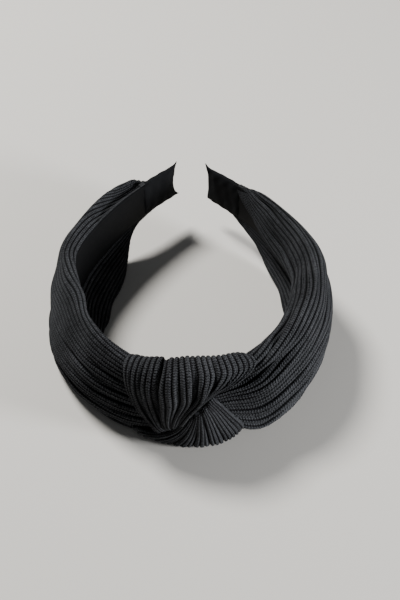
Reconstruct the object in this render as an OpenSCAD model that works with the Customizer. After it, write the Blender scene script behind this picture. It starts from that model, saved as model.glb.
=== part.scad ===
// Knotted headband: a springy plastic hoop, a plain lining and tip sleeves, and a ribbed knit
// cover that is gathered into a knot at the crown. It stands on the lower edge of its cover,
// with the knot towards -Y and the two tips towards +Y. "Left" is -X.
// A place on the band is given by s, the distance along the middle of the hoop from the crown
// centre, n, the distance outwards from that line, and z, the height.

/* [Hoop] */
// Radius of the crown, to the middle of the plastic
hoop_r = 62; // [52:0.5:76]
// Angle from the crown centre to where the crown arc ends
crown_turn = 96; // [88:1:100]
// Radius of the short arc behind the crown arc
shoulder_r = 68; // [55:1:90]
// Angle that the shoulder arc turns
shoulder_turn = 21; // [10:1:26]
// Radius of the nearly straight arm
arm_r = 170; // [110:5:240]
// Angle that the arm turns
arm_turn = 23; // [18:1:28]
// Thickness of the plastic
core_t = 1.4; // [1:0.1:2.2]
// Width of the plastic at the crown
core_w = 26; // [20:1:32]
// Width of the plastic at the tips
tip_w = 20; // [14:1:24]
// Corner radius of the plastic's tips
tip_round = 6; // [2:0.5:9]

/* [Lining] */
// Thickness of the plain lining strip
lining_t = 0.8; // [0.5:0.1:1.4]
// How far the lining stands past each long edge of the plastic
lining_lap = 0.8; // [0.2:0.1:1.5]

/* [Tip sleeves] */
// Length of the plastic that each sleeve covers
sleeve_len = 20; // [14:1:30]
// How far the empty end of the sleeve's corners reaches past the plastic
sleeve_over = 5; // [3:0.5:8]
// Thickness of the sleeve's cloth
sleeve_t = 0.9; // [0.6:0.1:1.4]
// How deep the cut end curves in between its corners
sleeve_dip = 3.2; // [1:0.2:3.6]

/* [Cover wings] */
// How far the wings stand out from the hoop
wing_out = 11.5; // [8:0.5:14]
// How far the wings' upper rims stand in from the hoop
wing_in = 7; // [5:0.5:9]
// How far the wings' lower parts bulge in from the hoop, below the lining
wing_low_in = 12; // [7:0.5:14]
// Height of the left wing's upper rim over the plastic's upper edge
left_rise = 6; // [3.5:0.5:11]
// Height of the right wing's upper rim over the plastic's upper edge
right_rise = 12; // [3.5:0.5:17]
// How far both wings hang below the middle of the plastic
wing_drop = 32; // [26:0.5:36]

/* [Knot] */
// Half of the knot's width along the hoop
knot_half = 29; // [24:0.5:35]
// Height of the knot's upper edge over the plastic's upper edge
knot_rise = 10; // [5:0.5:13]
// How far the knot's front stands out from the hoop
knot_out = 16.5; // [13:0.5:20]
// Room between the lining and the knot's cloth behind it
knot_back = 2.4; // [0.6:0.2:4]
// Thickness of the doubled cloth that wraps the knot
wrap_t = 3; // [2:0.2:4]
// Half width of the upper wrap where it is pinched
pinch_half = 10; // [7:0.5:14]
// Distance of the pinch from the crown centre, towards the right
pinch_shift = 5; // [0:0.5:9]
// Height of the pinch below the middle of the plastic
pinch_drop = 8; // [4:0.5:12]
// Half width of the lower wrap where it turns under the knot
fan_half = 23; // [18:0.5:27]

/* [Stitches] */
// Thickness of the sewing thread
thread_d = 0.7; // [0.4:0.1:1.2]
// Length of each stitch across the seam at the knot's back
stitch_len = 5; // [3:0.5:7]
// Number of stitches across that seam
stitch_count = 9; // [3:1:13]
// Number of thread bars in each tack where a wing meets its sleeve
tack_count = 3; // [1:1:4]

/* [Flex] */
// Largest angle that each arm springs open
flex_open = 22; // [15:1:26]

/* [Hidden] */

glue_gap = 0.05;             // between pieces that are glued face to face
slip_gap = 0.25;             // between pieces that lie on each other
hinge_gap = 0.1;             // round the bend line of the plastic
side_gap = 1.2;              // between the knot's side and the bend line
flex_close = 3;              // angle that each arm springs shut
flex_spare = 2;              // extra angle cut from the wings' roots
run_step = 3;                // spacing of the points along a bent strip
cut_spare = 1;               // how far cutting shapes run past what they cut
ring_points = 24;            // points round one section of the cloth
wing_rings = 44;             // sections along one wing
wrap_rings = 22;             // sections along one wrap
wrap_points = 15;            // points across a wrap
round_fn = 48;

mid_z = wing_drop;           // height of the middle of the plastic
core_half_t = core_t / 2;
knuckle_r = core_half_t - glue_gap;
radii = [hoop_r, shoulder_r, arm_r];
turns = [crown_turn, shoulder_turn, arm_turn];
function arc_len(r, a) = r * a * PI / 180;
shoulder_s = arc_len(hoop_r, crown_turn);
arm_s = shoulder_s + arc_len(shoulder_r, shoulder_turn);
tip_s = arm_s + arc_len(arm_r, arm_turn);
starts = [0, shoulder_s, arm_s];
start_turns = [0, crown_turn, crown_turn + shoulder_turn];

// Unit vector out of the hoop where it has turned by the angle a
function outward(a) = [sin(a), -cos(a)];
// Centres of the three arcs, before the hoop is moved front to back
crown_centre = [0, 0];
shoulder_centre = crown_centre + (hoop_r - shoulder_r) * outward(crown_turn);
arm_centre = shoulder_centre + (shoulder_r - arm_r) * outward(crown_turn + shoulder_turn);
centres = [crown_centre, shoulder_centre, arm_centre];
function arc_at(s) = s < shoulder_s ? 0 : s < arm_s ? 1 : 2;
function turn_at(s) = let (i = arc_at(s)) start_turns[i] + (s - starts[i]) / radii[i] * 180 / PI;
function raw_point(s, n) = centres[arc_at(s)] + (radii[arc_at(s)] + n) * outward(turn_at(s));
// The box of the whole headband is centred on the origin, front to back
sleeve_end_s = tip_s + sleeve_over;
front_y = -hoop_r - knot_out;
back_y = raw_point(sleeve_end_s, core_half_t + glue_gap + sleeve_t)[1];
shift_y = -(front_y + back_y) / 2;

function plan_point(s, n) = raw_point(s, n) + [0, shift_y];
function hoop_point(s) = plan_point(s, 0);
// Point of a section of the band at s, n and z. The section is folded back from the knot, by
// the angle lean_out on its outer side and lean_in on its inner side
function band_point(s, n, z, lean_out = 0, lean_in = 0) =
    let (a = turn_at(s), p = plan_point(s, n), along = n * tan(n > 0 ? lean_out : -lean_in))
    [p[0] + along * cos(a), p[1] + along * sin(a), z];

// The plastic narrows from where the arms start to run back, to the tips
taper_y0 = shift_y;
taper_y1 = hoop_point(tip_s)[1];
function half_w_at(s) =
    let (y = hoop_point(s)[1], share = min(1, max(0, (y - taper_y0) / (taper_y1 - taper_y0))))
    (core_w + (tip_w - core_w) * share) / 2;

hinge_s = knot_half + side_gap;
wing_s0 = hinge_s + hinge_gap + slip_gap;
wing_s1 = tip_s - sleeve_len - slip_gap;
lining_n0 = -core_half_t - glue_gap - lining_t;
slot_n = core_half_t + slip_gap;
slot_grow = lining_lap + slip_gap;

// Smooth step from a to b as x goes from x0 to x1
function step_up(x, x0, x1, a, b) =
    let (t = min(1, max(0, (x - x0) / (x1 - x0)))) a + (b - a) * t * t * (3 - 2 * t);
function soft_pow(v, p) = sign(v) * pow(abs(v), p);

// Section of a cloth tube, open at the back for the plastic and its lining: a rounded
// outline from the slot's upper lip over the top, front and foot to the lower lip. Its widest
// line stands at n_axis, and it reaches in to n_in above the slot and n_low below it
section_round = 2.5;
n_axis = 2;
function outline_angle(z, z_mid, half_h) =
    asin(min(1, pow(min(1, abs(z - z_mid) / half_h), section_round / 2)));
function outline_reach(a, n_in, n_low, n_out) =
    cos(a) > 0 ? n_out - n_axis : n_axis + (sin(a) > 0 ? n_in : n_low);
function cloth_section(n_in, n_low, n_out, z_lo, z_hi, half_w) =
    let (z_mid = (z_lo + z_hi) / 2, half_h = (z_hi - z_lo) / 2,
        upper = mid_z + half_w + slot_grow, lower = mid_z - half_w - slot_grow,
        a_up = 180 - outline_angle(upper, z_mid, half_h),
        a_low = -180 + outline_angle(lower, z_mid, half_h))
    concat(
        [for (i = [0:ring_points - 1])
            let (a = a_up + (a_low - a_up) * i / (ring_points - 1),
                n = outline_reach(a, n_in, n_low, n_out) * soft_pow(cos(a), 2 / section_round))
            [n_axis + n, max(0, z_mid + half_h * soft_pow(sin(a), 2 / section_round))]],
        [[slot_n, lower], [slot_n, upper]]);

// Closed solid through a list of rings that all have the same number of points. Its ends are
// closed with the faces in cap, which are lists of places in a ring, or with one face
module swept(rings, cap = undef) {
    count = len(rings[0]);
    last = len(rings) - 1;
    end = is_undef(cap) ? [[for (j = [0:count - 1]) j]] : cap;
    points = [for (ring = rings) for (p = ring) p];
    sides = [for (i = [0:last - 1], j = [0:count - 1])
        let (a = i * count + j, b = i * count + (j + 1) % count)
        each [[a, b, a + count], [b, b + count, a + count]]];
    first_cap = [for (f = end) [for (j = [len(f) - 1:-1:0]) f[j]]];
    last_cap = [for (f = end) [for (j = f) last * count + j]];
    polyhedron(points, concat(first_cap, sides, last_cap), convexity = 8);
}

// Upright strip that follows the hoop from s0 to s1 on the right, between two n and two z
module band_run(s0, s1, n0, n1, z0, z1) {
    between = [for (i = [ceil(s0 / run_step):floor(s1 / run_step)])
        if (i * run_step > s0 + glue_gap && i * run_step < s1 - glue_gap) i * run_step];
    stops = concat([s0], between, [s1]);
    last = len(stops) - 1;
    translate([0, 0, z0])
        linear_extrude(z1 - z0)
            polygon(concat([for (s = stops) plan_point(s, n1)],
                [for (i = [last:-1:0]) plan_point(stops[i], n0)]));
}

// Block that keeps the tapered width of the plastic, grown by grow on each edge
module taper_block(grow, spare_y = 0) {
    front = -hoop_r * 2;
    end_y = taper_y1 + spare_y;
    side = hoop_r * 4;
    big = core_w / 2 + grow;
    small = tip_w / 2 + grow;
    end_half = big + (small - big) * (end_y - taper_y0) / (taper_y1 - taper_y0);
    translate([-side / 2, 0, mid_z])
        rotate([90, 0, 90])
            linear_extrude(side)
                polygon([[front, -big], [taper_y0, -big], [end_y, -end_half],
                    [end_y, end_half], [taper_y0, big], [front, big]]);
}

// Places its children where the hoop has run to s, with X along the hoop and Y into it
module at_hoop(s) {
    p = hoop_point(s);
    translate([p[0], p[1], 0]) rotate([0, 0, turn_at(s)]) children();
}

// The square corners of the plastic's tip, which are cut off round
module tip_corners() {
    half = tip_w / 2;
    for (side = [-1, 1])
        at_hoop(tip_s)
            translate([0, 0, mid_z + side * half])
                difference() {
                    translate([-tip_round, -cut_spare * 4, -tip_round])
                        cube([tip_round * 2, cut_spare * 8, tip_round * 2]);
                    translate([-tip_round, cut_spare * 5, -side * tip_round])
                        rotate([90, 0, 0])
                            cylinder(r = tip_round, h = cut_spare * 10, $fn = round_fn);
                    translate([-tip_round * 2, -cut_spare * 5,
                            side > 0 ? -tip_round * 3 : tip_round])
                        cube([tip_round * 4, cut_spare * 10, tip_round * 2]);
                    translate([-tip_round * 3, -cut_spare * 5, -tip_round * 2])
                        cube([tip_round * 2, cut_spare * 10, tip_round * 4]);
                }
}

module arm_core() {
    difference() {
        intersection() {
            band_run(hinge_s, tip_s, -core_half_t, core_half_t,
                mid_z - core_w / 2, mid_z + core_w / 2);
            taper_block(0);
        }
        at_hoop(hinge_s)
            cylinder(r = core_half_t + hinge_gap, h = mid_z * 3, $fn = round_fn);
        tip_corners();
    }
}

module core_crown() {
    color("dimgray") {
        for (side = [0, 1])
            mirror([side, 0, 0]) {
                band_run(0, hinge_s, -core_half_t, core_half_t,
                    mid_z - core_w / 2, mid_z + core_w / 2);
                at_hoop(hinge_s)
                    translate([0, 0, mid_z - core_w / 2])
                        cylinder(r = knuckle_r, h = core_w, $fn = round_fn);
            }
    }
}

module core_left_arm() {
    color("dimgray") mirror([1, 0, 0]) arm_core();
}

module core_right_arm() {
    color("dimgray") arm_core();
}

module arm_lining() {
    intersection() {
        band_run(wing_s0, wing_s1, lining_n0, -core_half_t - glue_gap,
            mid_z - core_w, mid_z + core_w);
        taper_block(lining_lap);
    }
}

module lining_crown() {
    half = core_w / 2 + lining_lap;
    color("#17181a")
        for (side = [0, 1])
            mirror([side, 0, 0])
                band_run(0, hinge_s - hinge_gap, lining_n0, -core_half_t - glue_gap,
                    mid_z - half, mid_z + half);
}

module lining_left_arm() {
    color("#17181a") mirror([1, 0, 0]) arm_lining();
}

module lining_right_arm() {
    color("#17181a") arm_lining();
}

// Tube of cloth over the end of the plastic, pressed flat past it and cut with a curved end
module tip_sleeve() {
    inner_n = core_half_t + glue_gap;
    outer_n = inner_n + sleeve_t;
    half = tip_w / 2 + sleeve_t;
    dip_r = (half * half + sleeve_dip * sleeve_dip) / (2 * sleeve_dip);
    difference() {
        intersection() {
            band_run(tip_s - sleeve_len, sleeve_end_s, -outer_n, outer_n,
                mid_z - core_w, mid_z + core_w);
            taper_block(sleeve_t, sleeve_over * 2);
        }
        intersection() {
            band_run(tip_s - sleeve_len - cut_spare, tip_s + glue_gap, -inner_n, inner_n,
                mid_z - core_w, mid_z + core_w);
            taper_block(glue_gap, cut_spare);
        }
        at_hoop(sleeve_end_s)
            translate([dip_r - sleeve_dip, core_w / 2, mid_z])
                rotate([90, 0, 0])
                    cylinder(r = dip_r, h = core_w, $fn = round_fn);
    }
}

module left_tip_sleeve() {
    color("#1d1e21") mirror([1, 0, 0]) tip_sleeve();
}

module right_tip_sleeve() {
    color("#1d1e21") tip_sleeve();
}

// One wing of the ribbed cover: gathered at the knot, full over the shoulder and drawn in
// to the sleeve. Its root leans back, which leaves room for the arm to spring open
root_in = 3.4;               // inward reach of the gathered root
root_out = 9;                // outward reach of the gathered root
root_share = 0.3;            // part of the wing that fills out behind the root
draw_share = 0.45;           // where the wing starts to draw in towards the tip
foot_sink = 1.2;             // how far the section's round foot is cut flat
tip_cloth = 1.1;             // thickness of the cover where it meets the sleeve
root_lean_out = flex_open + flex_spare;
root_lean_in = flex_close + flex_spare;
function wing_size(u, root, full, end) =
    u < root_share ? step_up(u, 0, root_share, root, full)
        : step_up(u, draw_share, 1, full, end);
function wing_ring(i, rise) =
    let (u = i / (wing_rings - 1), s = wing_s0 + (wing_s1 - wing_s0) * u,
        half_w = half_w_at(s), end_half = half_w_at(wing_s1) + slot_grow + tip_cloth,
        root_half = core_w / 2 + slot_grow + tip_cloth,
        end_in = -lining_n0 + tip_cloth,
        n_in = wing_size(u, root_in, wing_in, end_in),
        n_low = wing_size(u, root_in, wing_low_in, end_in),
        n_out = wing_size(u, root_out, wing_out, slot_n + tip_cloth),
        z_hi = mid_z + wing_size(u, root_half + 2, rise, end_half),
        z_lo = mid_z - wing_size(u, wing_drop - 5, wing_drop + foot_sink, end_half),
        back = step_up(u, 0, root_share, 1, 0),
        ring = cloth_section(n_in, n_low, n_out, z_lo, z_hi, half_w))
    [for (q = ring) band_point(s, q[0], q[1], root_lean_out * back, root_lean_in * back)];
// A cloth tube's ends are closed with triangles from the slot's two corners, since the
// folded-back end of a wing isn't flat
front_point = ring_points / 2;
tube_cap = concat(
    [for (j = [0:front_point - 1]) [j, j + 1, ring_points + 1]],
    [[front_point, ring_points, ring_points + 1]],
    [for (j = [front_point:ring_points - 2]) [j, j + 1, ring_points]]);
module wing_cover(rise) {
    swept([for (i = [0:wing_rings - 1]) wing_ring(i, rise)], tube_cap);
}

module left_wing_cover() {
    color("#26272b") mirror([1, 0, 0]) wing_cover(core_w / 2 + left_rise);
}

module right_wing_cover() {
    color("#26272b") wing_cover(core_w / 2 + right_rise);
}

// The knot's outline in n and z: the middle of the wrap's cloth, all round the strand
knot_in = knot_back + wrap_t - lining_n0;
knot_z_hi = mid_z + core_w / 2 + knot_rise - wrap_t / 2;
knot_z_lo = wrap_t / 2;
knot_n_out = knot_out - wrap_t / 2;
knot_n_in = knot_in - wrap_t / 2;
knot_round = 2.6;
knot_centre = [(knot_n_out - knot_n_in) / 2, (knot_z_hi + knot_z_lo) / 2];
knot_reach = [(knot_n_out + knot_n_in) / 2, (knot_z_hi - knot_z_lo) / 2];
function knot_line(a, inset = 0) =
    [knot_centre[0] + (knot_reach[0] - inset) * soft_pow(cos(a), 2 / knot_round),
        knot_centre[1] + (knot_reach[1] - inset) * soft_pow(sin(a), 2 / knot_round)];
function angle_of_height(z) =
    asin(soft_pow((z - knot_centre[1]) / knot_reach[1], knot_round / 2));
pinch_z = mid_z - pinch_drop;
pinch_a = angle_of_height(pinch_z);

// Ring of a wrap at the angle a, between two distances along the hoop
function wrap_ring(a, s_from, s_to) =
    let (outer = knot_line(a, -wrap_t / 2), inner = knot_line(a, wrap_t / 2))
    concat(
        [for (j = [0:wrap_points - 1])
            knot_point(s_from + (s_to - s_from) * j / (wrap_points - 1), outer)],
        [for (j = [wrap_points - 1:-1:0])
            knot_point(s_from + (s_to - s_from) * j / (wrap_points - 1), inner)]);
function knot_point(s, q) =
    let (a = s / hoop_r * 180 / PI)
    [(hoop_r + q[0]) * sin(a), shift_y - (hoop_r + q[0]) * cos(a), q[1]];
// The wraps meet at the pinch in front and at the seam behind, with a small gap at each
wrap_gap_a = 1.2;
// A wrap's ends are curved strips, which are closed with triangles from edge to edge
wrap_far = 2 * wrap_points - 1;
wrap_cap = [for (j = [0:wrap_points - 2])
    each [[j, j + 1, wrap_far - j], [j + 1, wrap_far - j - 1, wrap_far - j]]];

// Cloth that comes over the top of the knot from behind and is drawn in to the pinch
module knot_upper_wrap() {
    a0 = 180 - pinch_a - wrap_gap_a;
    a1 = pinch_a + wrap_gap_a;
    color("#222326")
        swept([for (i = [0:wrap_rings - 1])
            let (u = i / (wrap_rings - 1), a = a0 + (a1 - a0) * u,
                half = step_up(u, 0.5, 1, knot_half, pinch_half),
                mid = step_up(u, 0.5, 1, 0, pinch_shift))
            wrap_ring(a, mid + half, mid - half)], wrap_cap);
}

// Cloth that fans out from the pinch, turns under the knot and comes up behind it
module knot_lower_wrap() {
    a0 = pinch_a - wrap_gap_a;
    a1 = -180 - pinch_a + wrap_gap_a;
    color("#2a2b2f")
        swept([for (i = [0:wrap_rings - 1])
            let (u = i / (wrap_rings - 1), a = a0 + (a1 - a0) * u,
                half = u < 0.5 ? step_up(u, 0, 0.4, pinch_half, fan_half)
                    : step_up(u, 0.5, 1, fan_half, knot_half),
                mid = step_up(u, 0, 0.4, pinch_shift, 0))
            wrap_ring(a, mid + half, mid - half)], wrap_cap);
}

// Gathered cloth that runs through the knot from wing to wing, over the plastic
module knot_strand() {
    end_s = knot_half;
    strand_rings = 20;
    inset = wrap_t / 2 + slip_gap;
    color("#202124")
        swept([for (i = [0:strand_rings - 1])
            let (s = -end_s + 2 * end_s * i / (strand_rings - 1))
            [for (q = strand_section(inset)) knot_point(s, q)]], tube_cap);
}
function strand_section(inset) =
    let (upper = mid_z + core_w / 2 + slot_grow, lower = mid_z - core_w / 2 - slot_grow,
        reach = knot_reach[1] - inset,
        a_up = 180 - asin(pow((upper - knot_centre[1]) / reach, knot_round / 2)),
        a_low = -180 + asin(pow((knot_centre[1] - lower) / reach, knot_round / 2)))
    concat(
        [for (i = [0:ring_points - 1])
            knot_line(a_up + (a_low - a_up) * i / (ring_points - 1), inset)],
        [[slot_n, lower], [slot_n, upper]]);

// Whip stitches that close the wraps on each other at the back of the knot
module knot_seam_stitches() {
    pitch = 2 * (knot_half - stitch_len) / max(1, stitch_count - 1);
    thread_n = -knot_in - thread_d / 2 - glue_gap * 2;
    color("black")
        for (i = [0:stitch_count - 1]) {
            s = -(knot_half - stitch_len) + pitch * i;
            p = knot_point(s, [thread_n, pinch_z - stitch_len / 2]);
            translate(p) cylinder(d = thread_d, h = stitch_len, $fn = round_fn);
        }
}

// Thread bars on the upper edge, where the cover is tacked to the sleeve
module end_tack() {
    bar_len = 4;
    bar_pitch = thread_d * 1.2;
    s = tip_s - sleeve_len;
    cover_top = mid_z + half_w_at(wing_s1) + slot_grow + tip_cloth;
    for (i = [0:tack_count - 1])
        at_hoop(s)
            translate([-bar_len / 2, (i - (tack_count - 1) / 2) * bar_pitch,
                    cover_top + thread_d / 2 + glue_gap])
                rotate([0, 90, 0])
                    cylinder(d = thread_d, h = bar_len, $fn = round_fn);
}

module left_end_tack() {
    color("dimgray") mirror([1, 0, 0]) end_tack();
}

module right_end_tack() {
    color("dimgray") end_tack();
}

core_crown();
core_left_arm();
core_right_arm();
lining_crown();
lining_left_arm();
lining_right_arm();
left_tip_sleeve();
right_tip_sleeve();
left_wing_cover();
right_wing_cover();
knot_strand();
knot_upper_wrap();
knot_lower_wrap();
knot_seam_stitches();
left_end_tack();
right_end_tack();
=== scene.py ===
import math

import bpy
import numpy as np
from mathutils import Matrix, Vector


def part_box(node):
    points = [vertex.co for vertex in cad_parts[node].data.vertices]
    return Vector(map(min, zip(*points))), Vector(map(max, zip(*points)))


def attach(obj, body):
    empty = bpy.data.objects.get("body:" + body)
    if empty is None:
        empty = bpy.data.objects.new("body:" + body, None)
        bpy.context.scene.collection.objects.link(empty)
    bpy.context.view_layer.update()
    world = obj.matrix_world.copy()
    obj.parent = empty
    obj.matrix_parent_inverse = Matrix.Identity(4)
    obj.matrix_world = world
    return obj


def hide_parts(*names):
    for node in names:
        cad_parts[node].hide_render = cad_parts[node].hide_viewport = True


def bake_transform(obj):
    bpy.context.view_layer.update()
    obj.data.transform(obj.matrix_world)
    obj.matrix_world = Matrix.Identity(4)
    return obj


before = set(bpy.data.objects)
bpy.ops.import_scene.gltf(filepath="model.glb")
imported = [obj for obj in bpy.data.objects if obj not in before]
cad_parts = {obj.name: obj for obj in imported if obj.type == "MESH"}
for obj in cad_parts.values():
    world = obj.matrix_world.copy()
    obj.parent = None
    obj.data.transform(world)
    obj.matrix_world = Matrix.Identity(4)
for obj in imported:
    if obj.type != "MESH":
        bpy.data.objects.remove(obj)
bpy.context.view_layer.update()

# Camera. It looks down on the knot from in front, as a person at the table would, with the
# open tips away from it and the whole hoop a little left of the middle.
VIEW_DOWN = math.radians(49)
VIEW_AWAY = 0.530
aim = Vector((0.0046, 0.0002, 0.020))
view_back = Vector((0, -math.cos(VIEW_DOWN), math.sin(VIEW_DOWN)))

camera_data = bpy.data.cameras.new("camera")
camera_data.lens = 60
camera_data.sensor_width = 36
camera = bpy.data.objects.new("camera", camera_data)
camera.location = aim + view_back * VIEW_AWAY
camera.rotation_euler = (-view_back).to_track_quat("-Z", "Y").to_euler()
bpy.context.collection.objects.link(camera)
bpy.context.scene.camera = camera

# Table and studio lights. The table is plain and pale. One broad soft lamp hangs high behind
# the left arm, a low one lights the front from the right, and the room adds an even grey.


class Wire:
    """An output socket of a node tree. Arithmetic on it adds Math nodes."""

    def __init__(self, socket):
        self.socket = socket

    @staticmethod
    def node(tree, kind, inputs=None, out=0, **settings):
        node = tree.nodes.new(kind)
        for name, value in settings.items():
            setattr(node, name, value)
        for key, value in (inputs or {}).items():
            if isinstance(value, Wire):
                tree.links.new(value.socket, node.inputs[key])
            else:
                node.inputs[key].default_value = value
        return Wire(node.outputs[out])

    def math(self, operation, *others, swap=False):
        terms = [*others, self] if swap else [self, *others]
        return Wire.node(self.socket.id_data, "ShaderNodeMath", dict(enumerate(terms)),
                         operation=operation)

    def __add__(self, other):
        return self.math("ADD", other)

    def __sub__(self, other):
        return self.math("SUBTRACT", other)

    def __rsub__(self, other):
        return self.math("SUBTRACT", other, swap=True)

    def __mul__(self, other):
        return self.math("MULTIPLY", other)

    def __pow__(self, other):
        return self.math("POWER", other)

    __radd__ = __add__
    __rmul__ = __mul__


def new_material(name):
    """An empty material, with its tree and its Principled shader."""
    material = bpy.data.materials.new(name)
    material.use_nodes = True
    return material, material.node_tree, material.node_tree.nodes["Principled BSDF"]


def feed(tree, shader, **links):
    for name, wire in links.items():
        tree.links.new(wire.socket, shader.inputs[name.replace("_", " ")])


def mix_colour(tree, share, low, high):
    """Colour between low and high, which are RGBA values or wires."""
    return Wire.node(tree, "ShaderNodeMix", {0: share, 6: low, 7: high}, out=2, data_type="RGBA")


table, tree, shader = new_material("pale_table")
shader.inputs["Roughness"].default_value = 0.8
shader.inputs["Base Color"].default_value = (0.62, 0.60, 0.56, 1)

bpy.ops.mesh.primitive_plane_add(size=4, location=(0, 0.6, 0))
floor = bpy.context.object
floor.name = "table_top"
floor.data.materials.append(table)


def soft_lamp(name, place, size, power, shade):
    data = bpy.data.lights.new(name, "AREA")
    data.shape = "DISK"
    data.size = size
    data.energy = power
    data.color = shade
    lamp = bpy.data.objects.new(name, data)
    lamp.location = place
    lamp.rotation_euler = (Vector(place) - aim).to_track_quat("Z", "Y").to_euler()
    bpy.context.collection.objects.link(lamp)


soft_lamp("high_back_lamp", (-0.5, 0.5, 1.05), 0.35, 26, (1.0, 0.99, 0.97))
soft_lamp("low_right_lamp", (1.0, -0.36, 0.27), 0.25, 21, (0.97, 0.98, 1.0))

room = bpy.data.worlds.new("room")
room.use_nodes = True
room.node_tree.nodes["Background"].inputs["Color"].default_value = (0.92, 0.95, 1.0, 1)
room.node_tree.nodes["Background"].inputs["Strength"].default_value = 0.11
bpy.context.scene.world = room

# Springy band. One moulded strip of black plastic, 1.4 mm thick, runs from tip to tip inside
# the cloth. Every other piece is placed along it: s is the way along the strip from the
# crown's middle (left is below zero), n the way out of the hoop and z the height, in mm.
MM = 0.001
HOOP_RADII = np.array([62.0, 68.0, 170.0])
HOOP_TURNS = np.radians([96.0, 21.0, 23.0])
BAND_HALF_T = 0.7
BAND_CROWN_HALF = 13.0
BAND_TIP_HALF = 10.0
BAND_MID_Z = 32.0
KNOT_HALF = 29.0
BEND_FROM, BEND_TO = KNOT_HALF - 7, KNOT_HALF + 13
RIGHT_DROOP = 2.2
DROOP_FROM = 130.0
STEP = 1.6

arc_ends = np.cumsum(HOOP_RADII * HOOP_TURNS)
arc_starts = np.concatenate([[0], arc_ends[:-1]])
turn_starts = np.concatenate([[0], np.cumsum(HOOP_TURNS)[:-1]])
TIP_S = arc_ends[-1]


def outward(turn):
    return np.stack([np.sin(turn), -np.cos(turn)], -1)


arc_centres = [np.array([0.0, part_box("core_crown")[0][1] / MM + HOOP_RADII[0] + BAND_HALF_T])]
for k in (1, 2):
    arc_centres.append(arc_centres[-1]
                       + (HOOP_RADII[k - 1] - HOOP_RADII[k]) * outward(turn_starts[k]))
arc_centres = np.array(arc_centres)


def on_hoop(s, n, z):
    """Points in metres at s, n and z in mm. The right tip hangs a little lower than the left."""
    s, n, z = np.broadcast_arrays(*(np.asarray(v, float) for v in (s, n, z)))
    z = z - RIGHT_DROOP * np.clip((s - DROOP_FROM) / (TIP_S - DROOP_FROM), 0, 1.2) ** 1.5
    way = np.abs(s)
    arc = np.clip(np.searchsorted(arc_ends, way), 0, 2)
    turn = turn_starts[arc] + (way - arc_starts[arc]) / HOOP_RADII[arc]
    flat = arc_centres[arc] + (HOOP_RADII[arc] + n)[..., None] * outward(turn)
    side = np.where(s < 0, -1.0, 1.0)
    return np.stack([flat[..., 0] * side, flat[..., 1], z], -1) * MM


crown_y = arc_centres[0][1]
tip_y = on_hoop(TIP_S, 0, 0)[1] / MM


def band_half(s):
    """Half of the strip's width: even round the crown, narrower towards the tips."""
    y = on_hoop(s, 0, 0)[..., 1] / MM
    share = np.clip((y - crown_y) / (tip_y - crown_y), 0, 1)
    return BAND_CROWN_HALF + (BAND_TIP_HALF - BAND_CROWN_HALF) * share


def write_values(mesh, label, values, shape):
    values = np.broadcast_to(values, shape).astype(np.float32)
    mesh.attributes.new(label, "FLOAT", "POINT").data.foreach_set("value", values.ravel())


def grid_mesh(name, points, along, across, closed=False, capped=False):
    """A smooth mesh from rows of points, with the attributes along (mm) and across."""
    rows, count = points.shape[:2]
    index = np.arange(rows * count).reshape(rows, count)
    if closed:
        index = np.concatenate([index, index[:, :1]], 1)
    quads = np.stack([index[:-1, :-1], index[:-1, 1:], index[1:, 1:], index[1:, :-1]], -1)
    faces = quads.reshape(-1, 4).tolist()
    if capped:
        faces += [index[0, :count][::-1].tolist(), index[-1, :count].tolist()]
    mesh = bpy.data.meshes.new(name)
    mesh.from_pydata(points.reshape(-1, 3).tolist(), [], faces)
    write_values(mesh, "along", along, (rows, count))
    write_values(mesh, "across", across, (rows, count))
    mesh.shade_smooth()
    piece = bpy.data.objects.new(name, mesh)
    bpy.context.collection.objects.link(piece)
    return piece


def bend_with_arm(piece, side):
    """Bakes a piece's placement into its mesh. It works out where the stretch beside the knot
    starts and ends on one side, but does not bend the piece.
    """
    start = on_hoop(side * BEND_FROM, 0, BAND_MID_Z)
    end = on_hoop(side * BEND_TO, 0, BAND_MID_Z)
    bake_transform(piece)


def ring_strip(name, side, s_to, n_low, n_high, half_of, bulge=0.0):
    """A closed strip along one half of the hoop, with rounded edges and ends."""
    s = np.linspace(0, s_to, int(s_to / STEP))[:, None]
    round_part = np.radians(np.linspace(0, 180, 7))
    edge = (n_high - n_low) / 2
    n_mid = (n_high + n_low) / 2
    half = half_of(s)
    upper = half - edge + edge * np.sin(round_part)[None, :]
    n_upper = np.broadcast_to(n_mid + edge * np.cos(round_part), upper.shape)
    middle = np.linspace(1, -1, 9)[None, 1:-1]
    z_in = (half - edge) * middle
    n_in = n_low - bulge * (1 - middle ** 2) + 0 * z_in
    z = np.concatenate([upper, z_in, -upper[:, ::-1]], 1)
    n = np.concatenate([n_upper, n_in, n_upper[:, ::-1]], 1)
    around = np.linspace(0, 1, z.shape[1])[None, :]
    points = on_hoop(side * (s + 0 * z), n, BAND_MID_Z + z)
    piece = grid_mesh(name, points, side * s, around, closed=True, capped=True)
    if side > 0:
        piece.data.flip_normals()
    return piece


def tip_rounded(s):
    """Half width of the plastic, with its tip's corners rounded off."""
    corner = 6.0
    into = np.clip((s - (TIP_S - corner)) / corner, 0, 1)
    return band_half(s) - corner * (1 - np.sqrt(1 - into ** 2))


def blotches(tree, place, scale, detail, **more):
    """Soft random spots, about scale of them to a metre."""
    return Wire.node(tree, "ShaderNodeTexNoise",
                     {"Vector": place, "Scale": scale, "Detail": detail, **more})


plastic, tree, shader = new_material("moulded_plastic")
place = Wire.node(tree, "ShaderNodeTexCoord", out="Object")
mottle = blotches(tree, place, 180, 4)
feed(tree, shader,
     Base_Color=mix_colour(tree, mottle, (0.035, 0.035, 0.038, 1), (0.06, 0.06, 0.064, 1)),
     Roughness=0.35 + mottle * 0.2)

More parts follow.
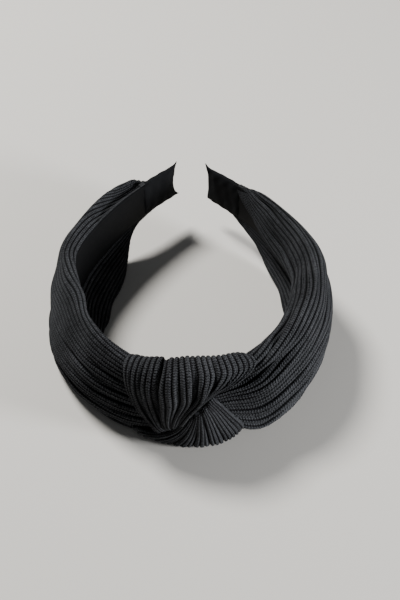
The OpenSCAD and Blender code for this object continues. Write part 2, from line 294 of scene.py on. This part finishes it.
SIDES = (("left", -1), ("right", 1))
for word, side in SIDES:
    band = ring_strip(f"{word}_half_band", side, TIP_S, -BAND_HALF_T, BAND_HALF_T, tip_rounded)
    band.data.materials.append(plastic)
    bend_with_arm(band, side)
    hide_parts("core_crown", f"core_{word}_arm")

# Lining. A strip of smooth, tightly woven black cloth is glued over the inside of the plastic,
# from under one tip sleeve to under the other. Its long edges are turned in, and the glue
# pulls it a little flat in the middle.
LINING_T = 0.8
LINING_LAP = 0.8
GLUE_T = 0.05
SLEEVE_LEN = 20.0
lining_near = -BAND_HALF_T - GLUE_T
lining_far = -(BAND_HALF_T + GLUE_T + LINING_T)


def carried(tree, label):
    """A value that the cloth's own mesh carries."""
    return Wire.node(tree, "ShaderNodeAttribute", out="Fac", attribute_name=label)


def relief(tree, height, strength, depth):
    """The surface's fine relief, depth metres deep."""
    return Wire.node(tree, "ShaderNodeBump", {"Height": height, "Strength": strength,
                                              "Distance": depth})


satin, tree, shader = new_material("lining_satin")
along = carried(tree, "along")
place = Wire.node(tree, "ShaderNodeTexCoord", out="Object")
weave = (along * 9.0).math("SINE") * 0.5 + 0.5
cloudy = blotches(tree, place, 60, 5)
fleck = blotches(tree, place, 1500, 2)
tone = cloudy * 0.6 + fleck * 0.3 + weave * 0.1
height = fleck * 0.5 + weave * 0.3 + cloudy * 0.8
feed(tree, shader,
     Base_Color=mix_colour(tree, tone, (0.0012, 0.0013, 0.0016, 1), (0.0055, 0.0058, 0.0066, 1)),
     Roughness=0.42 + cloudy * 0.25,
     Normal=relief(tree, height, 0.5, 0.0003))
shader.inputs["Specular IOR Level"].default_value = 0.04

for word, side in SIDES:
    lining = ring_strip(f"{word}_half_lining", side, TIP_S - SLEEVE_LEN + 4, lining_far,
                        lining_near, lambda s: band_half(s) + LINING_LAP, bulge=0.25)
    lining.data.materials.append(satin)
    bend_with_arm(lining, side)
    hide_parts("lining_crown", f"lining_{word}_arm")

# Cover wings. A wide tube of black ribbed knit goes round the plastic on each side of the
# knot. Its edges are stitched behind the lining, it stands on its lower fold, it is gathered
# hard under the knot, and at the tip it is drawn in under the sleeve.
RIB_HEIGHT = 0.95
RIB_WIDTH = 2.5
RIB_POINTS = 8
WING_RIBS = 42
WING_SWELL = 0.7
LOOP_LEN = 1.2
HELD_EDGE = 0.04
CLOTH_T = 0.7
TABLE_GAP = 0.7


def through(keys, values, at):
    """Values at the places at, on a smooth curve through the keyed values."""
    keys, values, at = (np.asarray(v, float) for v in (keys, values, at))
    slopes = np.gradient(values, keys, axis=0)
    i = np.clip(np.searchsorted(keys, at, side="right") - 1, 0, len(keys) - 2)
    span = (keys[i + 1] - keys[i]).reshape(at.shape + (1,) * (values.ndim - 1))
    t = (at - keys[i]).reshape(span.shape) / span
    a, b = values[i], values[i + 1]
    return (a * (1 + 2 * t) * (1 - t) ** 2 + b * t * t * (3 - 2 * t)
            + span * (slopes[i] * t * (1 - t) ** 2 - slopes[i + 1] * t * t * (1 - t)))


def evenly(points, count):
    """The smooth curve through a row of points, cut into even lengths."""
    keys = np.concatenate([[0], np.cumsum(np.sqrt(np.linalg.norm(np.diff(points, axis=0),
                                                                 axis=1)))])
    fine = through(keys, points, np.linspace(0, keys[-1], 400))
    length = np.concatenate([[0], np.cumsum(np.linalg.norm(np.diff(fine, axis=0), axis=1))])
    want = np.linspace(0, length[-1], count)
    return np.stack([np.interp(want, length, fine[:, k]) for k in range(2)], -1)


def surface_normals(points):
    du = np.gradient(points, axis=0)
    dv = np.gradient(points, axis=1)
    normal = np.cross(du, dv)
    return normal / np.maximum(np.linalg.norm(normal, axis=-1, keepdims=True), 1e-12)


def bump_between(x, start, end):
    """Rises from 0 at start to 1 half-way and falls to 0 at end."""
    t = np.clip((x - start) / (end - start), 0, 1)
    return np.sin(np.pi * t) ** 2


def wavy(along, across, rng, terms=7, reach=(40, 3)):
    """Slow uneven swell, the same on each run."""
    total = np.zeros(np.broadcast(along, across).shape)
    for _ in range(terms):
        f_along, f_across = rng.uniform(0.5, 1.6, 2)
        a, b = rng.uniform(0, 2 * np.pi, 2)
        total += (np.sin(2 * np.pi * f_along * along / reach[0] + a)
                  * np.sin(2 * np.pi * f_across * across * reach[1] + b))
    return total / terms ** 0.5


# Each row of a wing's table is s, then n and z of: the inner foot, the outer foot, the belly,
# the shoulder, the rim and the inner roll, and last n and z of the cloth's upper edge.
LEFT_WING = [
    (3, -3, 12, 5, 9, 8.5, 19, 6.5, 34, 3, 42, 0, 45, -1.2, 45),
    (18, -3, 6, 7, 3, 9, 16, 7, 35.5, 3, 45.5, -0.5, 47, -1.2, 45.6),
    (30, -4, 3, 8.5, 1.8, 10.2, 15, 8, 36.5, 3.2, 48.5, -1.5, 48, -1.2, 45.6),
    (46, -3.6, 1.5, 9, 1.4, 11.5, 14, 9, 37, 1, 50, -2.5, 49, -1.2, 45.6),
    (62, -3.8, 1.2, 9.4, 1.6, 12.8, 13, 8, 36, -1, 49.5, -4.5, 47.5, -1.2, 45.5),
    (80, -10, 0.8, 9.6, 1.2, 13.2, 11, 8, 34, -2, 48.5, -6.5, 46, -1.2, 45.3),
    (98, -15, 0.6, 6, 1, 11, 15, 9, 36, 1, 49, -3.5, 47, -1.2, 45.1),
    (116, -15, 0.6, 3, 1, 8.5, 19, 10, 37, 5, 48, 0.5, 46, -1.2, 44.7),
    (134, -13, 0.7, 1, 1, 6.5, 22, 10.5, 38, 6.5, 47.5, 1.5, 45, -1.2, 44.3),
    (150, -8, 1.5, 0.2, 2, 5.5, 23, 10.5, 39, 8, 46.5, 3, 41.5, -1, 43.9),
    (162, -2.5, 14, 0.8, 13.2, 5, 24, 10, 40, 7.8, 46.3, 2.8, 40.6, -0.8, 43.7),
    (170, -1.6, 19.3, 1, 18.6, 4.2, 27, 8.5, 40, 6.3, 45.6, 2.5, 40.9, -0.8, 43.3),
    (176, -1.3, 20.3, 0.8, 19.8, 2.8, 28, 6.6, 39.5, 5, 44.6, 2.3, 41.3, -0.8, 43),
    (179, -1.1, 20.8, 0.6, 20.4, 1.5, 28, 2.8, 38, 2.2, 43.3, 1, 42.6, -0.8, 42.8),
    (181, -0.9, 21.2, 0.4, 20.9, 1.1, 28, 1.1, 37, 0.6, 42.8, 0, 43, -0.9, 42.6),
]
RIGHT_WING = [
    (3, -3, 12, 3, 11, 6.5, 20, 7.5, 34, 3, 41, -1, 44, -1.8, 42),
    (16, -3, 9, 4, 7, 8.5, 18, 7.3, 35, 2, 43, -2, 46, -2.2, 38),
    (30, -4, 2, 9.5, 0.8, 12, 13, 9.7, 37, 3, 48.5, -3, 47.5, -2.2, 32),
    (46, -6, 1.2, 9.4, 0.9, 12.6, 13.5, 9.2, 38, 2, 52, -5, 49, -2.2, 28),
    (62, -9, 2, 8, 2, 12, 17, 8.8, 40, 0, 54.5, -7.5, 48, -2.2, 26),
    (80, -11, 0.8, 6.4, 4, 11, 20, 8.9, 40, 0, 54, -10, 45, -2.2, 24),
    (98, -10.5, 0.6, 4, 4, 9.5, 22, 8.3, 40, 1, 53, -10, 38, -2.2, 20),
    (116, -8.5, 0.8, 2, 3, 7, 22, 7.5, 40, 1, 52, -9.5, 33, -2.1, 19.3),
    (134, -6, 1.2, 1, 2.5, 5, 22, 6, 40, 1, 51, -8.8, 30.5, -2.1, 20),
    (150, -3.5, 6, 0.5, 6, 3.5, 24, 4.5, 40, 1, 49.5, -7, 31, -2, 24),
    (162, -2.2, 12.5, 0.5, 12, 2.8, 27, 3.5, 40, 0.8, 47.5, -4.6, 34, -1.9, 28),
    (172, -1.6, 16, 0.6, 16, 1.8, 28, 2.3, 39, 0.6, 45, -2.8, 38.5, -1.8, 34),
    (181, -0.9, 19.2, 0.4, 19, 1.1, 27, 1.1, 37, 0.6, 42.8, -0.6, 43, -0.9, 42.4),
]


def wing_surface(side, table, folds, seed):
    """Points, s and the share across of one wing's cloth, lower edge to upper edge."""
    table = np.array(table, float)
    s = np.arange(table[0, 0], table[-1, 0] + STEP / 2, STEP)
    rows = through(table[:, 0], table[:, 1:], s).reshape(len(s), 7, 2)
    lower = np.stack([np.full(len(s), -1.2), BAND_MID_Z - band_half(s) - LINING_LAP], -1)
    count = WING_RIBS * RIB_POINTS + 1
    section = np.stack([evenly(np.concatenate([low[None], row]), count)
                        for low, row in zip(lower, rows)])
    points = on_hoop(side * s[:, None], section[..., 0], section[..., 1]) / MM
    across = np.linspace(0, 1, count)[None, :]
    normal = surface_normals(points) * side
    rng = np.random.default_rng(seed)
    lift = WING_SWELL * wavy(s[:, None], across, rng) * bump_between(s[:, None], 20, 200)
    for at_root, at_far, s_from, s_to, width, depth in folds:
        middle = at_root + (at_far - at_root) * (s - s[0]) / (s_to - s[0])
        shape = np.exp(-((across - middle[:, None]) / width) ** 2)
        lift = lift - depth * shape * bump_between(s[:, None], s_from, s_to)
    ease = np.minimum(across / HELD_EDGE, 1) * np.minimum((1 - across) / HELD_EDGE, 1)
    points = points + normal * (lift * ease)[..., None]
    points[..., 2] = np.maximum(points[..., 2], TABLE_GAP)
    return points * MM, s[:, None], across


def rib_tree():
    """Raises the ribs of the knit: even ridges with narrow grooves, counted across the cloth."""
    tree = bpy.data.node_groups.new("raise_ribs", "GeometryNodeTree")
    for label, kind in (("Geometry", "Geometry"), ("Rib count", "Float"),
                        ("Rib height", "Float"), ("Cloth", "Material")):
        tree.interface.new_socket(label, in_out="INPUT", socket_type=f"NodeSocket{kind}")
    tree.interface.new_socket("Geometry", in_out="OUTPUT", socket_type="NodeSocketGeometry")
    given = tree.nodes.new("NodeGroupInput")
    across, lift = (Wire.node(tree, "GeometryNodeInputNamedAttribute", {"Name": label},
                              data_type="FLOAT") for label in ("across", "lift"))
    place = (across * Wire(given.outputs["Rib count"])).math("FRACT") * 2 - 1
    ridge = 0.62 - place.math("ABSOLUTE") ** 3
    rise = ridge * Wire(given.outputs["Rib height"]) * lift
    normal = Wire.node(tree, "GeometryNodeInputNormal")
    offset = Wire.node(tree, "ShaderNodeVectorMath", {0: normal, "Scale": rise},
                       operation="SCALE")
    ribbed = Wire.node(tree, "GeometryNodeSetPosition",
                       {"Geometry": Wire(given.outputs["Geometry"]), "Offset": offset})
    real = Wire.node(tree, "GeometryNodeRealizeInstances", {"Geometry": ribbed})
    dressed = Wire.node(tree, "GeometryNodeSetMaterial",
                        {"Geometry": real, "Material": Wire(given.outputs["Cloth"])})
    tree.links.new(dressed.socket, tree.nodes.new("NodeGroupOutput").inputs[0])
    return tree


def knit_piece(name, points, along, across, ribs, inside_out):
    """A piece of the ribbed cloth, with raised ribs and its own thickness."""
    piece = grid_mesh(name, points, along, across)
    if inside_out:
        piece.data.flip_normals()
    width = np.linalg.norm(np.gradient(points, axis=1), axis=-1) * RIB_POINTS / MM
    lift = np.clip(width / RIB_WIDTH, 0.2, 1)
    write_values(piece.data, "lift", lift, points.shape[:2])
    write_values(piece.data, "rib", across * ribs, points.shape[:2])
    piece.data.materials.append(knit)
    run_tree(piece, ribbing, {"Rib count": float(ribs), "Rib height": RIB_HEIGHT * MM,
                              "Cloth": knit})
    thicken(piece, CLOTH_T)
    make_plain(piece)
    return piece


def run_tree(piece, tree, given):
    """Runs a node tree on a piece, with the values given for its named inputs."""
    run = piece.modifiers.new(tree.name, "NODES")
    run.node_group = tree
    for item in tree.interface.items_tree:
        if item.name in given:
            run[item.identifier] = given[item.name]


def thicken(piece, thickness):
    """Gives cloth its thickness, in mm, inwards from its outer face."""
    thick = piece.modifiers.new("thickness", "SOLIDIFY")
    thick.thickness = thickness * MM
    thick.offset = -1


def make_plain(piece):
    """Turns what a piece's modifiers make into its plain mesh."""
    seen = piece.evaluated_get(bpy.context.evaluated_depsgraph_get())
    mesh = bpy.data.meshes.new_from_object(seen)
    piece.modifiers.clear()
    piece.data = mesh


knit, tree, shader = new_material("ribbed_knit")
rib = carried(tree, "rib")
along = carried(tree, "along")
place = Wire.node(tree, "ShaderNodeTexCoord", out="Object")
wale = ((rib * 2).math("FRACT") * 2 - 1).math("ABSOLUTE")
# The colour darkens towards the middle of each groove between the ribs: painted shade in the
# grooves, on top of the grain, blotches and stitch pattern.
painted_groove_shade = 1 - ((rib.math("FRACT") * 2 - 1).math("ABSOLUTE")) ** 1.7
loop = ((along * (1 / LOOP_LEN) + wale * 0.42 + rib.math("FLOOR") * 0.37)
        * (2 * math.pi)).math("SINE") * 0.5 + 0.5
stitch = loop * (1 - wale ** 3)
grain = blotches(tree, place, 1100, 3, Roughness=0.7)
worn = blotches(tree, place, 45, 4)
tone = (stitch * 0.5 + grain * 1.3 + worn * 0.7 - 0.8) * painted_groove_shade
height = stitch * 0.6 + grain * 0.6
feed(tree, shader,
     Base_Color=mix_colour(tree, tone, (0.0008, 0.0008, 0.001, 1), (0.1, 0.104, 0.113, 1)),
     Roughness=0.78 + grain * 0.2,
     Normal=relief(tree, height, 0.9, 0.0006))
shader.inputs["Sheen Weight"].default_value = 0.015
shader.inputs["Sheen Roughness"].default_value = 0.5
shader.inputs["Specular IOR Level"].default_value = 0.03

ribbing = rib_tree()

# Folds of a wing: the share across at the root and where the fold ends, the s it runs
# between, its half width as a share of the cloth, and its depth in mm (below 0 is a ridge).
LEFT_FOLDS = [
    (0.50, 0.46, -10, 90, 0.018, 4.4),
    (0.58, 0.60, -20, 75, 0.020, 3.0),
    (0.66, 0.72, 0, 85, 0.016, 2.4),
    (0.40, 0.34, 0, 100, 0.024, 3.6),
    (0.74, 0.80, -15, 70, 0.016, 1.8),
    (0.33, 0.26, 20, 110, 0.022, 2.6),
    (0.54, 0.58, 60, 170, 0.020, 1.6),
    (0.66, 0.62, 70, 178, 0.018, 1.6),
    (0.52, 0.56, 120, 186, 0.015, 2.0),
    (0.62, 0.66, 130, 188, 0.015, 2.2),
    (0.72, 0.78, 125, 188, 0.015, 1.8),
    (0.42, 0.46, 135, 186, 0.016, 1.8),
]
RIGHT_FOLDS = [
    (0.75, 0.65, -14, 62, 0.024, 5.0),
    (0.60, 0.66, -12, 76, 0.016, -1.4),
    (0.52, 0.50, -10, 95, 0.016, 2.8),
    (0.44, 0.40, -15, 90, 0.016, 3.0),
    (0.37, 0.31, -5, 105, 0.020, 3.6),
    (0.74, 0.80, -10, 90, 0.015, 2.0),
    (0.60, 0.56, 40, 150, 0.018, 1.9),
    (0.70, 0.67, 50, 160, 0.016, 1.7),
    (0.80, 0.84, 60, 170, 0.014, 1.8),
    (0.58, 0.62, 110, 190, 0.013, 1.6),
    (0.48, 0.52, 120, 190, 0.013, 1.6),
    (0.70, 0.74, 118, 190, 0.014, 1.6),
]
WINGS = (("left", -1, LEFT_WING, LEFT_FOLDS, 5), ("right", 1, RIGHT_WING, RIGHT_FOLDS, 8))
for word, side, rows, folds, seed in WINGS:
    points, s, across = wing_surface(side, rows, folds, seed)
    wing = knit_piece(f"{word}_wing_knit", points, s, across, WING_RIBS, side > 0)
    bend_with_arm(wing, side)
    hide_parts(f"{word}_wing_cover")

# Knot. Two turns of the same knit are wrapped round the gathered wings at the crown. The
# upper one comes over the top edge, bags out in front and is drawn in to a pinch right of
# the middle; the lower one fans out from the pinch and turns under the bottom edge.
KNOT_SWELL = 0.35
EDGE_ROLL = 2.2


def cage_surface(cage, rows, columns):
    """A smooth surface through a cage of points given as s, n and z."""
    cage = np.array(cage, float)
    down = through(np.arange(len(cage)), cage, np.linspace(0, len(cage) - 1, rows))
    side = through(np.arange(cage.shape[1]), down.swapaxes(0, 1),
                   np.linspace(0, cage.shape[1] - 1, columns))
    return side.swapaxes(0, 1)


UPPER_CAGE = [
    [(-27, -4.6, 20), (-14, -5, 18), (0, -5.2, 18), (13, -5, 18), (26, -4.6, 20)],
    [(-29, -4.6, 34), (-15, -5.4, 34), (0, -5.6, 34), (14, -5.4, 34), (27, -4.6, 34)],
    [(-30, -3.6, 45.5), (-15, -4, 48), (0, -3.8, 51), (15, -3.8, 50), (29, -3.6, 46.5)],
    [(-31, 0.5, 49.7), (-15.5, 0.5, 52.3), (0, 0.8, 56), (15, 0.5, 54.3), (30.5, 0.5, 50.8)],
    [(-30, 6.5, 48.5), (-15.5, 7.5, 50), (1, 8, 53), (15.5, 7, 50.5), (31, 4.5, 47.8)],
    [(-28.3, 9.9, 42), (-15.5, 12, 43), (1, 12, 46.5), (11.5, 11, 46.5), (22, 9, 45.5)],
    [(-26.3, 11.2, 33), (-14.5, 13.2, 34), (0.5, 13.3, 38.5), (7.5, 12.4, 42), (13.8, 10.9, 43.5)],
    [(-21.8, 12.2, 22.8), (-13, 13.6, 24), (-3, 13.6, 29), (3.3, 12.6, 35), (9, 10.8, 39.5)],
    [(-17.8, 12.5, 16.5), (-11.5, 13.2, 16.5), (-5, 13.3, 21.5), (0.3, 12.6, 28.5), (5, 11.5, 34)],
    [(-14.6, 12.2, 9.5), (-9.5, 11.8, 12.8), (-5.8, 12.1, 17.2), (-2, 12.1, 23.8), (1.6, 12, 29.3)],
    [(-13.2, 8.8, 9.8), (-8.6, 9.2, 13.4), (-5, 9.6, 17.6), (-1.2, 9.8, 24), (2, 10, 28.8)],
]
LOWER_CAGE = [
    [(-1.5, 8.2, 24), (1, 8.6, 27.5), (3.2, 8.8, 31), (5.6, 8.6, 34.5), (8, 8.2, 38.3)],
    [(-3, 12, 21), (0.8, 12.8, 25.5), (3.8, 13, 29.5), (6.6, 12.4, 33.5), (9.5, 10.9, 38.2)],
    [(-8.5, 12.2, 12.5), (-2, 13.6, 16.5), (4, 14.2, 21.5), (9, 13.3, 27), (13.2, 10.9, 31.6)],
    [(-16.5, 12.2, 8.6), (-6, 13.6, 9), (4, 14.6, 12.5), (11.5, 13.8, 18), (17.7, 10.9, 22.5)],
    [(-23, 11.6, 7.4), (-10.5, 13, 4.2), (3.5, 14, 4.6), (14, 13.6, 8), (22.3, 10.8, 13)],
    [(-26, 10.2, 3.6), (-12, 10.5, 1.4), (3.5, 11.5, 0.9), (15, 11, 1.3), (24.2, 9, 6)],
    [(-26.5, 4, 1.8), (-13, 3, 1), (3, 3, 0.8), (16, 3, 1), (26, 3, 2.5)],
    [(-26.5, -3.8, 7), (-13, -4.4, 5.5), (2, -4.4, 5.5), (15, -4.4, 5.5), (26, -3.8, 7)],
    [(-26, -4.8, 17.5), (-13, -5.4, 16.5), (1, -5.6, 16.5), (14, -5.4, 16.5), (26, -4.8, 17.5)],
]


def knot_wrap(name, cage, rows, ribs, folds, seed):
    """One turn of cloth of the knot, ribs running the way it is wrapped."""
    count = ribs * RIB_POINTS + 1
    net = cage_surface(cage, rows, count)
    points = on_hoop(net[..., 0], net[..., 1], net[..., 2]) / MM
    down = np.linspace(0, 1, rows)[:, None]
    across = np.linspace(0, 1, count)[None, :]
    normal = surface_normals(points)
    lift = KNOT_SWELL * wavy(down * 60, across, np.random.default_rng(seed))
    lift = lift - EDGE_ROLL * np.abs(2 * across - 1) ** 24
    for start, end, from_down, to_down, width, depth in folds:
        middle = start + (end - start) * down
        shape = np.exp(-((across - middle) / width) ** 2)
        lift = lift - depth * shape * bump_between(down, from_down, to_down)
    points = points + normal * lift[..., None]
    points[..., 2] = np.maximum(points[..., 2], TABLE_GAP)
    along = np.cumsum(np.linalg.norm(np.diff(points[:, count // 2], axis=0), axis=1))
    along = np.concatenate([[0], along])[:, None]
    wrap = knit_piece(name, points * MM, along, across, ribs, True)
    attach(wrap, "crown")
    return wrap


UPPER_FOLDS = [
    (0.07, 0.07, 0.2, 1.3, 0.014, 1.2),
    (0.18, 0.13, 0.2, 1.1, 0.018, 2.2),
    (0.33, 0.24, 0.02, 0.98, 0.017, 4.2),
    (0.43, 0.40, 0.22, 1.1, 0.018, 2.8),
    (0.52, 0.53, 0.15, 1.2, 0.022, 4.2),
    (0.585, 0.62, 0.2, 1.3, 0.024, -1.6),
    (0.65, 0.72, 0.18, 1.2, 0.021, 4.2),
    (0.78, 0.84, 0.3, 1.2, 0.018, 2.8),
    (0.93, 0.93, 0.3, 1.3, 0.014, 1.0),
]
LOWER_FOLDS = [
    (0.16, 0.16, -0.3, 0.75, 0.018, 1.8),
    (0.30, 0.32, -0.3, 0.7, 0.020, 2.6),
    (0.44, 0.46, -0.3, 0.8, 0.018, 2.0),
    (0.57, 0.60, -0.35, 0.75, 0.022, 3.4),
    (0.72, 0.74, -0.35, 0.8, 0.018, 2.8),
    (0.93, 0.93, -0.3, 0.9, 0.012, 0.9),
]
upper = knot_wrap("knot_upper_turn", UPPER_CAGE, 96, 24, UPPER_FOLDS, 11)
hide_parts("knot_upper_wrap", "knot_strand")
lower = knot_wrap("knot_lower_turn", LOWER_CAGE, 80, 22, LOWER_FOLDS, 12)
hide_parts("knot_lower_wrap")

# Tip sleeves. A short tube of plain woven black cloth is pulled over each end of the plastic
# and pressed flat past it. Its cut end is left raw, hollow between two corners that curl up.
SLEEVE_OVER = 5.0
SLEEVE_LAP = 1.2
SLEEVE_T = 0.35

woven, tree, shader = new_material("plain_woven")
along = carried(tree, "along")
height_mm = carried(tree, "across")
place = Wire.node(tree, "ShaderNodeTexCoord", out="Object")
over = (along * 8.5).math("SINE") * (height_mm * 8.5).math("SINE") * 0.5 + 0.5
fuzz = blotches(tree, place, 1400, 3)
worn = blotches(tree, place, 90, 4)
tone = over * 0.35 + fuzz * 0.5 + worn * 0.25
feed(tree, shader,
     Base_Color=mix_colour(tree, tone, (0.0025, 0.0026, 0.003, 1), (0.014, 0.0146, 0.016, 1)),
     Roughness=0.75 + fuzz * 0.2,
     Normal=relief(tree, over * 0.7 + fuzz * 0.6, 0.8, 0.0003))
shader.inputs["Specular IOR Level"].default_value = 0.04

for word, side in SIDES:
    u = np.linspace(0, 1, 40)[:, None]
    turn = np.linspace(0, 2 * np.pi, 65)[None, :-1]
    up = np.sign(np.sin(turn)) * np.abs(np.sin(turn)) ** 0.55
    out = np.sign(np.cos(turn)) * np.abs(np.cos(turn)) ** 0.8
    past = np.clip((u - 0.78) / 0.22, 0, 1)
    low_ear, hollow = (0.8, 3.6) if side < 0 else (-0.8, 1.8)
    reach = SLEEVE_OVER - hollow * (1 - up ** 2) + np.where(up > 0, 0.6, low_ear) * np.abs(up) ** 5
    s = TIP_S - SLEEVE_LEN - SLEEVE_LAP + u * (SLEEVE_LEN + SLEEVE_LAP + reach)
    ear, sag = (1.3 * past ** 2, 0.2 * past ** 2) if side < 0 else (3.2 * past ** 3, 1.8 - 0.8 * u)
    half = band_half(np.minimum(s, TIP_S)) + 1.1 + np.where(up > 0, ear, sag)
    press = 2.3 - 1.45 * past - 0.4 * np.clip(1 - u / 0.06, 0, 1)
    curl = 2.2 * past ** 2 * np.clip(up - 0.5, 0, 1) * (1 if side < 0 else -0.4)
    creased = 0.25 * np.sin(s * 0.9 + up * 2.5) * np.sin(up * 5 + side)
    n = press * out + curl + creased
    z = BAND_MID_Z + half * up
    sleeve = grid_mesh(f"{word}_tip_cloth", on_hoop(side * s, n, z), s, z, closed=True)
    if side > 0:
        sleeve.data.flip_normals()
    sleeve.data.materials.append(woven)
    thicken(sleeve, SLEEVE_T)
    make_plain(sleeve)
    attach(sleeve, f"{word}_arm")
    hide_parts(f"{word}_tip_sleeve")

# Sewing thread. Black polyester thread tacks each wing to its sleeve, and closes the knot's
# turns on each other behind the crown, in whip stitches.
THREAD_D = 0.5
TACK_LEN = 3.0
SEAM_STITCH_LEN = 5.0

thread, tree, shader = new_material("sewing_thread")
place = Wire.node(tree, "ShaderNodeTexCoord", out="Object")
fluff = blotches(tree, place, 2500, 2)
feed(tree, shader,
     Base_Color=mix_colour(tree, fluff, (0.012, 0.0125, 0.014, 1), (0.05, 0.052, 0.055, 1)),
     Roughness=0.5 + fluff * 0.3)


def stitch_tree():
    """Sets one two-ply stitch at each point, lying along the point's own direction."""
    tree = bpy.data.node_groups.new("sew_stitches", "GeometryNodeTree")
    for label, kind in (("Geometry", "Geometry"), ("Length", "Float"), ("Thread", "Float"),
                        ("Material", "Material")):
        tree.interface.new_socket(label, in_out="INPUT", socket_type=f"NodeSocket{kind}")
    tree.interface.new_socket("Geometry", in_out="OUTPUT", socket_type="NodeSocketGeometry")
    given = tree.nodes.new("NodeGroupInput")
    length, across = Wire(given.outputs["Length"]), Wire(given.outputs["Thread"])
    off_axis, ply_radius = across * 0.22, across * 0.3
    ply = Wire.node(tree, "GeometryNodeCurveSpiral",
                    {"Resolution": 14, "Rotations": 3.0, "Start Radius": off_axis,
                     "End Radius": off_axis, "Height": length})
    profile = Wire.node(tree, "GeometryNodeCurvePrimitiveCircle",
                        {"Resolution": 7, "Radius": ply_radius})
    strand = Wire.node(tree, "GeometryNodeCurveToMesh",
                       {"Curve": ply, "Profile Curve": profile, "Fill Caps": True})
    centred = Wire.node(tree, "GeometryNodeTransform",
                        {"Geometry": strand, "Translation": Wire.node(
                            tree, "ShaderNodeCombineXYZ", {"Z": length * -0.5})})
    second = Wire.node(tree, "GeometryNodeTransform",
                       {"Geometry": centred, "Rotation": (0, 0, math.pi)})
    join = tree.nodes.new("GeometryNodeJoinGeometry")
    for wire in (centred, second):
        tree.links.new(wire.socket, join.inputs[0])
    heading = Wire.node(tree, "GeometryNodeInputNamedAttribute", {"Name": "heading"},
                        data_type="FLOAT_VECTOR")
    lie = Wire.node(tree, "FunctionNodeAlignRotationToVector", {"Vector": heading}, axis="Z")
    placed = Wire.node(tree, "GeometryNodeInstanceOnPoints",
                       {"Points": Wire(given.outputs["Geometry"]),
                        "Instance": Wire(join.outputs[0]), "Rotation": lie})
    real = Wire.node(tree, "GeometryNodeRealizeInstances", {"Geometry": placed})
    dressed = Wire.node(tree, "GeometryNodeSetMaterial",
                        {"Geometry": real, "Material": Wire(given.outputs["Material"])})
    tree.links.new(dressed.socket, tree.nodes.new("NodeGroupOutput").inputs[0])
    return tree


sewing = stitch_tree()


def stitches(name, body, places, headings, length, node):
    """A row of stitches at the given places, each lying along its heading."""
    mesh = bpy.data.meshes.new(name)
    mesh.from_pydata([tuple(p) for p in places], [], [])
    mesh.attributes.new("heading", "FLOAT_VECTOR", "POINT").data.foreach_set(
        "vector", np.asarray(headings, np.float32).ravel())
    piece = bpy.data.objects.new(name, mesh)
    bpy.context.collection.objects.link(piece)
    run_tree(piece, sewing, {"Length": length * MM, "Thread": THREAD_D * MM,
                             "Material": thread})
    make_plain(piece)
    piece.data.shade_smooth()
    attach(piece, body)
    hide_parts(node)


for word, side in SIDES:
    seam_s = TIP_S - SLEEVE_LEN - 1
    edge_z = BAND_MID_Z + band_half(seam_s) + 1.2
    places = on_hoop(side * seam_s, np.array([-0.7, 0.1, 0.9]), edge_z)
    headings = np.tile(on_hoop(side * (seam_s + 1), 0, 0) - on_hoop(side * seam_s, 0, 0), (3, 1))
    stitches(f"{word}_tack_thread", f"{word}_arm", places, headings, TACK_LEN,
             f"{word}_end_tack")

seam = np.linspace(-24, 24, 9)
stitches("knot_seam_thread", "crown", on_hoop(seam, -6.2, 17.5),
         np.tile((0.25, 0, 1), (len(seam), 1)), SEAM_STITCH_LEN, "knot_seam_stitches")
